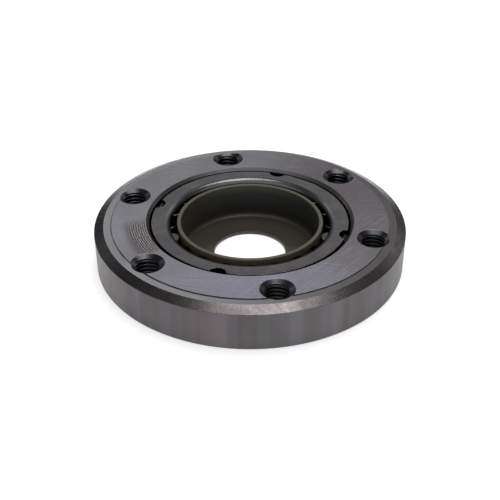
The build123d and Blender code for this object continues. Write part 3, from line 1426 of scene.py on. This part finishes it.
@dataclass
class InnerCage:
    """The sheet cage inside the sprags, whose notched flange covers them."""

    finishes: Finishes
    sprag_count: int = 20
    cage_turn: float = 1.3
    sheet: float = 0.8 * MM
    bend_radius: float = 2.1 * MM
    band_radius: float = 24.0 * MM
    flange_radius: float = 29.855 * MM
    window_width: float = 5.5 * MM
    window_base: float = 2.35 * MM
    window_top: float = 11.15 * MM
    notch_count: int = 4
    notch_radius: float = 2.6 * MM
    notch_depth: float = 2.15 * MM
    notch_corner: float = 0.4 * MM
    rim_margin: float = 0.6 * MM
    bend_steps: int = 11
    edge_round: float = 0.14 * MM
    edge_bevel: float = 0.08 * MM

    def build(self) -> bpy.types.Object:
        """Builds the cage as one closed sheet.

        Returns:
            The cage's object.
        """
        low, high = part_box(Part.INNER_CAGE.value)
        columns = self.columns()
        open_side, hidden_side = self.section(low.z, high.z)
        body = bmesh.new()
        front, back = (
            [
                [body.verts.new(self.spot(column, reach, height)) for reach, height in side]
                for column in columns
            ]
            for side in (open_side, hidden_side)
        )
        beside = [self.beside_window(*heights) for heights in zip(open_side, open_side[1:])]
        self.add_faces(body, front, back, [
            [column.in_window and tall for tall in beside] for column in columns
        ])
        bmesh.ops.recalc_face_normals(body, faces=body.faces)
        cage = from_bmesh("inner_cage_sheet", body)
        cage.data.materials.append(self.finishes.cage)
        smooth(cage, bevel=self.edge_bevel)
        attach(cage, Part.INNER_CAGE.value)
        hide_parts(Part.INNER_CAGE.value)
        return cage

    @staticmethod
    def add_faces(body: bmesh.types.BMesh, front: Skin, back: Skin, gaps: list[list[bool]]) -> None:
        """Adds the sheet's faces: both skins, the rims and the sides of the windows.

        Args:
            body: The bmesh.
            front: The open side's vertices, column by column.
            back: The hidden side's vertices, in the same order.
            gaps: For each column, which of its cells a window cuts away.
        """
        count, cells = len(front), len(front[0]) - 1
        for i in range(count):
            n = (i + 1) % count
            for j in range(cells):
                if gaps[i][j]:
                    continue
                body.faces.new((front[i][j], front[i][j + 1], front[n][j + 1], front[n][j]))
                body.faces.new((back[i][j], back[n][j], back[n][j + 1], back[i][j + 1]))
                if gaps[i - 1][j]:
                    body.faces.new((front[i][j + 1], front[i][j], back[i][j], back[i][j + 1]))
                if gaps[n][j]:
                    body.faces.new((front[n][j], front[n][j + 1], back[n][j + 1], back[n][j]))
                if j > 0 and gaps[i][j - 1]:
                    body.faces.new((front[i][j], front[n][j], back[n][j], back[i][j]))
                k = j + 1
                if k < cells and gaps[i][k]:
                    body.faces.new((front[n][k], front[i][k], back[i][k], back[n][k]))
            body.faces.new((front[i][0], front[n][0], back[n][0], back[i][0]))
            body.faces.new((front[n][-1], front[i][-1], back[i][-1], back[n][-1]))

    def section(self, base: float, top: float) -> tuple[list[Point], list[Point]]:
        """Gives the two sides of the sheet, from the flange's rim in and down the band.

        Args:
            base: Height of the band's lower edge.
            top: Height of the flange's upper face.

        Returns:
            The open side and the hidden side, with as many points each.
        """
        steps = self.bend_steps
        bend = self.band_radius + self.bend_radius
        inside = self.bend_radius - self.sheet
        rim = self.flange_radius - self.rim_margin
        open_side, hidden = [], []
        for step in range(4):
            angle = math.pi / 2 * step / 3
            reach = self.flange_radius - self.edge_round * (1 - math.cos(angle))
            drop = self.edge_round * (1 - math.sin(angle))
            open_side.append((reach, top - drop))
            hidden.append((reach, top - self.sheet + drop))
        for share in (1.0, 0.75, 0.5, 0.25):
            reach = bend + (rim - bend) * share
            open_side.append((reach, top))
            hidden.append((reach, top - self.sheet))
        start = top - self.bend_radius
        for side, radius in ((open_side, self.bend_radius), (hidden, inside)):
            to_window = math.pi / 2 - math.asin((self.window_top - start) / radius)
            angles = [math.pi / 2 + to_window * step / steps for step in range(steps + 1)]
            for angle in (*angles, math.pi):
                side.append((bend + radius * math.cos(angle), start + radius * math.sin(angle)))
        for level in ((start + self.window_base) / 2, self.window_base, base):
            open_side.append((self.band_radius, level))
            hidden.append((self.band_radius + self.sheet, level))
        return open_side, hidden

    def columns(self) -> list[Column]:
        """Lists the steps round the cage, close together at the windows and the notches.

        Returns:
            The columns, in order.
        """
        pitch = math.tau / self.sprag_count
        middle = self.band_radius + self.sheet / 2
        half_window = math.asin(self.window_width / 2 / middle)
        between = (half_window + pitch / 2) / 2
        spare = 0.004  # radians, so that no column crowds the window's side
        notched = self.sprag_count // self.notch_count
        plain = [(half_window * k / 4, self.flange_radius) for k in range(4)]
        notch = self.notch_outline()
        found = []
        for index in range(self.sprag_count):
            centre = math.radians(self.cage_turn) + index * pitch
            side = plain if index % notched else notch
            half = [(angle, rim) for angle, rim in side if angle < half_window - spare]
            half += [(angle, self.flange_radius) for angle in (half_window, between)]
            for angle, rim in reversed(half):
                found.append(Column(centre - angle, rim, angle <= half_window))
            for angle, rim in half[1:]:
                found.append(Column(centre + angle, rim, angle < half_window))
        return found

    def notch_outline(self) -> list[Point]:
        """Gives the flange's rim across half a notch, with its corner rounded.

        Returns:
            Angles from the notch's middle and the rim's radius there.
        """
        centre = self.flange_radius - self.notch_depth + self.notch_radius
        corner_out = self.flange_radius - self.notch_corner
        reach = self.notch_radius + self.notch_corner
        cosine = (corner_out**2 + centre**2 - reach**2) / (2 * corner_out * centre)
        turn = math.acos(cosine)
        corner = Vector((corner_out * math.cos(turn), corner_out * math.sin(turn)))
        side = math.atan2(corner.y, centre - corner.x)
        points = []
        for step in range(11):
            angle = side * step / 10
            points.append((
                centre - self.notch_radius * math.cos(angle), self.notch_radius * math.sin(angle)
            ))
        for step in range(1, 6):
            angle = -side + (side + turn) * step / 5
            points.append((
                corner.x + self.notch_corner * math.cos(angle),
                corner.y + self.notch_corner * math.sin(angle),
            ))
        return [(math.atan2(y, x), math.hypot(x, y)) for x, y in points]

    def spot(self, column: Column, reach: float, height: float) -> Place:
        """Places one point of the sheet, drawn in where the rim is notched.

        Args:
            column: The point's column.
            reach: Its radius on the plain section.
            height: Its height.

        Returns:
            The point.
        """
        bend = self.band_radius + self.bend_radius
        if reach > bend:
            share = (reach - bend) / (self.flange_radius - bend)
            reach = bend + (column.rim - bend) * share
        return spoke(AXIS, reach, column.angle, height)

    def beside_window(self, upper: Point, lower: Point) -> bool:
        """Says whether the sheet between two points of its section is at the windows' height."""
        near = 0.001 * MM
        return upper[1] < self.window_top + near and lower[1] > self.window_base - near


@dataclass
class Sleeve:
    """The plastic cup that the sprags ride on until the clutch is fitted."""

    finishes: Finishes
    wall: float = 1.2 * MM
    floor: float = 1.15 * MM
    hole_radius: float = 11.0 * MM
    rim_round: float = 0.35 * MM
    base_round: float = 0.45 * MM
    inner_round: float = 1.2 * MM
    hole_round: float = 0.2 * MM
    round_steps: int = 6
    ring_steps: int = 256
    sharp_degrees: float = 40.0

    def build(self) -> bpy.types.Object:
        """Builds the sleeve.

        Returns:
            The sleeve's object.
        """
        low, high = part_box(Part.SLEEVE.value)
        radius = high.x
        floor_top = low.z + self.floor
        section = [
            (self.hole_radius, low.z, self.hole_round),
            (radius, low.z, self.base_round),
            (radius, high.z, self.rim_round),
            (radius - self.wall, high.z, self.rim_round),
            (radius - self.wall, floor_top, self.inner_round),
            (self.hole_radius, floor_top, self.hole_round),
        ]
        cup = lathe("sleeve_cup", rounded(section, self.round_steps), self.ring_steps)
        cup.data.materials.append(self.finishes.sleeve)
        smooth(cup, self.sharp_degrees)
        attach(cup, Part.SLEEVE.value)
        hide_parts(Part.SLEEVE.value)
        return cup


@dataclass
class SpragUnit:
    """The carried-over pieces of the sprag unit: sprags, outer cage, ribbon spring and clips."""

    finishes: Finishes
    nodes: dict[str, bpy.types.Object]
    sprag_edge: float = 0.28 * MM
    cage_edge: float = 0.08 * MM

    def dress(self) -> list[bpy.types.Object]:
        """Gives every carried-over piece its finish, and the sprags and the outer cage eased edges.

        Returns:
            The dressed pieces.
        """
        looks = self.finishes
        dressed = []
        for name, node in sorted(self.nodes.items()):
            if name.startswith("sprag_"):
                self.finish(node, looks.sprag, self.sprag_edge)
            elif name == Part.OUTER_CAGE.value:
                self.finish(node, looks.hidden_cage, self.cage_edge)
            elif name == Part.RIBBON.value or name.startswith("drag_clip_"):
                self.finish(node, looks.spring, 0.0)
            else:
                continue
            dressed.append(node)
        return dressed

    @staticmethod
    def finish(node: bpy.types.Object, material: bpy.types.Material, bevel: float) -> None:
        """Dresses one piece.

        Args:
            node: The piece.
            material: Its finish.
            bevel: Width of its eased edges.
        """
        node.data.materials.clear()
        node.data.materials.append(material)
        if bevel > 0.0:
            weld = node.modifiers.new("weld", "WELD")
            weld.merge_threshold = 0.001 * MM
            flatten = node.modifiers.new("whole_flat_faces", "DECIMATE")
            flatten.decimate_type = "DISSOLVE"
            flatten.angle_limit = math.radians(0.3)
            ease_edges(node, bevel)
            keep_flats(node)


# ---------------------------------------------------------------------------------------------
# Studio
# ---------------------------------------------------------------------------------------------


@dataclass
class Studio:
    """The pale floor, the light and the camera."""

    azimuth: float = 18.8
    elevation: float = 31.35
    distance: float = 277.7 * MM
    tip_down: float = 2.10
    lens: float = 65.9
    floor_size: float = 6.0
    floor_gap: float = 0.02 * MM
    floor_lift: float = 0.62
    panel_width: Ramp = (0.45, 0.72)
    panel_base: Ramp = (0.26, 0.56)
    panel_top: Ramp = (0.76, 0.62)
    panel_glow: float = 1.15
    wall_glow: Ramp = (0.0, -0.4, 0.10, 0.5)
    softbox_place: Place = (0.07, 0.12, 0.75)  # right, away and up as the camera sees them
    softbox_size: float = 0.42
    softbox_watts: float = 2.0

    def build(self) -> None:
        """Builds the whole studio."""
        self.build_floor()
        self.build_world()
        self.build_softbox()
        self.build_camera()

    def build_floor(self) -> None:
        """Lays a large white floor just under the clutch."""
        half = self.floor_size / 2
        mesh = bpy.data.meshes.new("studio_floor")
        corners = [(-half, -half, 0.0), (half, -half, 0.0), (half, half, 0.0), (-half, half, 0.0)]
        mesh.from_pydata(corners, [], [(0, 1, 2, 3)])
        floor = place_object("studio_floor", mesh)
        floor.location.z = -self.floor_gap
        material = bpy.data.materials.new("white_sweep")
        material.use_nodes = True
        shader = material.node_tree.nodes["Principled BSDF"]
        shader.inputs["Base Color"].default_value = (0.95, 0.95, 0.95, 1.0)
        shader.inputs["Roughness"].default_value = 0.8
        shader.inputs["Specular IOR Level"].default_value = 0.0
        shader.inputs["Emission Color"].default_value = (1.0, 1.0, 1.0, 1.0)
        sheet = NodeSheet(material.node_tree)
        path = sheet.add("ShaderNodeLightPath")
        seen = sheet.math("MAXIMUM", path.outputs["Is Camera Ray"], path.outputs["Is Glossy Ray"])
        seen = sheet.math("MAXIMUM", seen, path.outputs["Is Transmission Ray"])
        sheet.feed(shader.inputs["Emission Strength"], sheet.times(seen, self.floor_lift))
        mesh.materials.append(material)
        floor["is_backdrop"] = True

    def build_world(self) -> None:
        """Makes the tent round the clutch: a bright panel behind, dim walls, white where seen."""
        world = bpy.data.worlds.new("studio_sky")
        world.use_nodes = True
        sheet = NodeSheet(world.node_tree)
        back = world.node_tree.nodes["Background"]
        place = sheet.add("ShaderNodeTexCoord").outputs["Generated"]
        parts = sheet.add("ShaderNodeSeparateXYZ")
        sheet.feed(parts.inputs[0], place)
        away = sheet.add("ShaderNodeVectorMath", operation="DOT_PRODUCT")
        sheet.feed(away.inputs[0], place)
        sheet.feed(away.inputs[1], self.turned((0.0, 1.0, 0.0)))
        panel = sheet.ramp(away.outputs["Value"], *self.panel_width)
        for ramp in (self.panel_base, self.panel_top):
            panel = sheet.times(panel, sheet.ramp(parts.outputs[2], *ramp))
        walls = sheet.ramp(away.outputs["Value"], *self.wall_glow)
        glow = sheet.blend(panel, walls, self.panel_glow)
        path = sheet.add("ShaderNodeLightPath")
        rays = (path.outputs["Is Camera Ray"], path.outputs["Is Transmission Ray"])
        seen = sheet.math("MAXIMUM", *rays)
        sheet.feed(back.inputs["Strength"], sheet.blend(seen, glow, 1.0))
        back.inputs["Color"].default_value = (1.0, 1.0, 1.0, 1.0)
        bpy.context.scene.world = world

    def build_softbox(self) -> None:
        """Hangs a broad square softbox over the clutch."""
        light = bpy.data.lights.new("overhead", "AREA")
        light.size = self.softbox_size
        light.energy = self.softbox_watts
        lamp = place_object("overhead", light)
        lamp.location = self.turned(self.softbox_place)
        lamp.rotation_mode = "QUATERNION"
        lamp.rotation_quaternion = (-lamp.location).to_track_quat("-Z", "Y")

    def turned(self, place: Place) -> Vector:
        """Turns a place from the camera's right, away and up to the clutch's frame.

        Args:
            place: Right, away and up.

        Returns:
            The place in the clutch's frame.
        """
        angle = math.radians(self.azimuth)
        right, away, up = place
        return Vector((
            right * math.cos(angle) - away * math.sin(angle),
            right * math.sin(angle) + away * math.cos(angle),
            up,
        ))

    def build_camera(self) -> None:
        """Sets the camera at the product's viewing angle."""
        _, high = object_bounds()
        aim = Vector((0.0, 0.0, high.z))
        tilt = math.radians(self.elevation)
        back = self.turned((0.0, -math.cos(tilt), math.sin(tilt)))
        data = bpy.data.cameras.new("camera")
        data.lens = self.lens
        data.sensor_width = 36.0
        data.clip_start = 0.01
        data.clip_end = 20.0
        camera = place_object("camera", data)
        camera.location = aim + back * self.distance
        look = math.radians(self.elevation + self.tip_down)
        ahead = self.turned((0.0, math.cos(look), -math.sin(look)))
        camera.rotation_mode = "QUATERNION"
        camera.rotation_quaternion = ahead.to_track_quat("-Z", "Y")
        bpy.context.scene.camera = camera


def main() -> None:
    """Builds the clutch and the studio."""
    logging.basicConfig(level=logging.INFO, format="%(name)s: %(message)s")
    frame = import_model()
    bpy.context.scene.view_settings.view_transform = "Standard"
    effects = Effects()
    finishes = Finishes(effects)
    Studio().build()
    pieces = [Housing(finishes).build(), InnerCage(finishes).build(), Sleeve(finishes).build()]
    pieces += SpragUnit(finishes, frame["nodes"]).dress()
    for piece in pieces:
        LOG.info("%s: %d faces", piece.name, len(piece.data.polygons))


if __name__ == "__main__":
    main()
